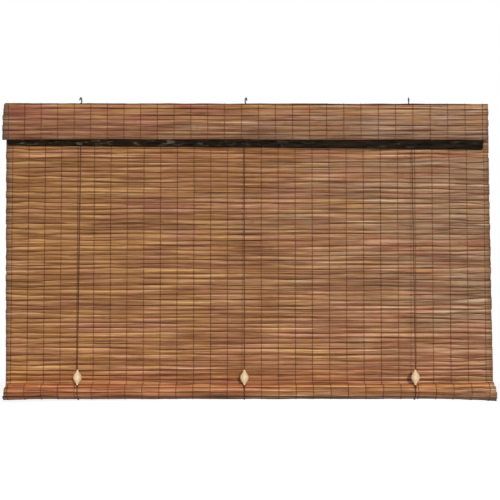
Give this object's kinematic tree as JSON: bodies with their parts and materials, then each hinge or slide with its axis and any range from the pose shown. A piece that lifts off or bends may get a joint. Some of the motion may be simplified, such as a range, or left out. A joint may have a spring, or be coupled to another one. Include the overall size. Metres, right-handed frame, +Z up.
{
  "type": "bamboo roll-up blind",
  "caption": "Wide blind of split bamboo slats on woven threads, with a folded valance, hanging hooks, and a bottom roll lifted by cord slings with wooden beads.",
  "frame": {"origin": "the middle of the blind on the line where the three hooks hang, at the inside top of their rings", "axes": "+Z up, the front faces -Y, +X to the right along the slats as seen from the front"},
  "size_m": [1.009, 0.0505, 0.6251],
  "materials": {
    "slat_inner_face": "carbonised bamboo, satin",
    "slat_outer_face": "carbonised bamboo skin, satin",
    "stained_rail": "near-black stain, satin",
    "warp_thread": "twisted dark thread",
    "lift_cord": "braided dark cord",
    "bead_wood": "pale turned wood, bare",
    "pole_wood": "plain round pole",
    "hook_steel": "blackened wire",
    "staple_wire": "bright wire"
  },
  "bodies": {
    "hanging": {"headrail": "stained_rail", "valance": "slat_outer_face", "valance_threads": "warp_thread", "valance_staples": "staple_wire", "mat": "slat_inner_face", "warp_threads": "warp_thread", "mat_staples": "staple_wire", "hook_left": "hook_steel", "hook_middle": "hook_steel", "hook_right": "hook_steel", "cord_front_left": "lift_cord", "cord_front_middle": "lift_cord", "cord_front_right": "lift_cord", "cord_back_left": "lift_cord", "cord_back_middle": "lift_cord", "cord_back_right": "lift_cord", "front_knot_left": "lift_cord", "front_knot_middle": "lift_cord", "front_knot_right": "lift_cord", "back_knot_left": "lift_cord", "back_knot_middle": "lift_cord", "back_knot_right": "lift_cord", "cord_staples": "staple_wire"},
    "lift": {"cord_sling_left": "lift_cord", "cord_sling_middle": "lift_cord", "cord_sling_right": "lift_cord", "bead_left": "bead_wood", "bead_middle": "bead_wood", "bead_right": "bead_wood"},
    "bottom_roll": {"roll": "slat_outer_face", "roll_threads": "warp_thread", "bottom_pole": "pole_wood"}
  },
  "joints": [
    {"name": "roll_lift", "type": "slide", "parent": "hanging", "child": "lift", "axis": [0, 0, 1], "range_m": [0, 0.41], "deforming": ["mat", "warp_threads", "cord_front_left", "cord_front_middle", "cord_front_right", "cord_back_left", "cord_back_middle", "cord_back_right"]},
    {"name": "roll_turn", "type": "hinge", "parent": "lift", "child": "bottom_roll", "pos_m": [0, -0.00739, -0.60195], "axis": [-1, 0, 0], "range_deg": [0, 1420]}
  ],
  "couplings": [
    {"joint": "roll_turn", "follows": "roll_lift", "rad_per_m": 59.928}
  ]
}
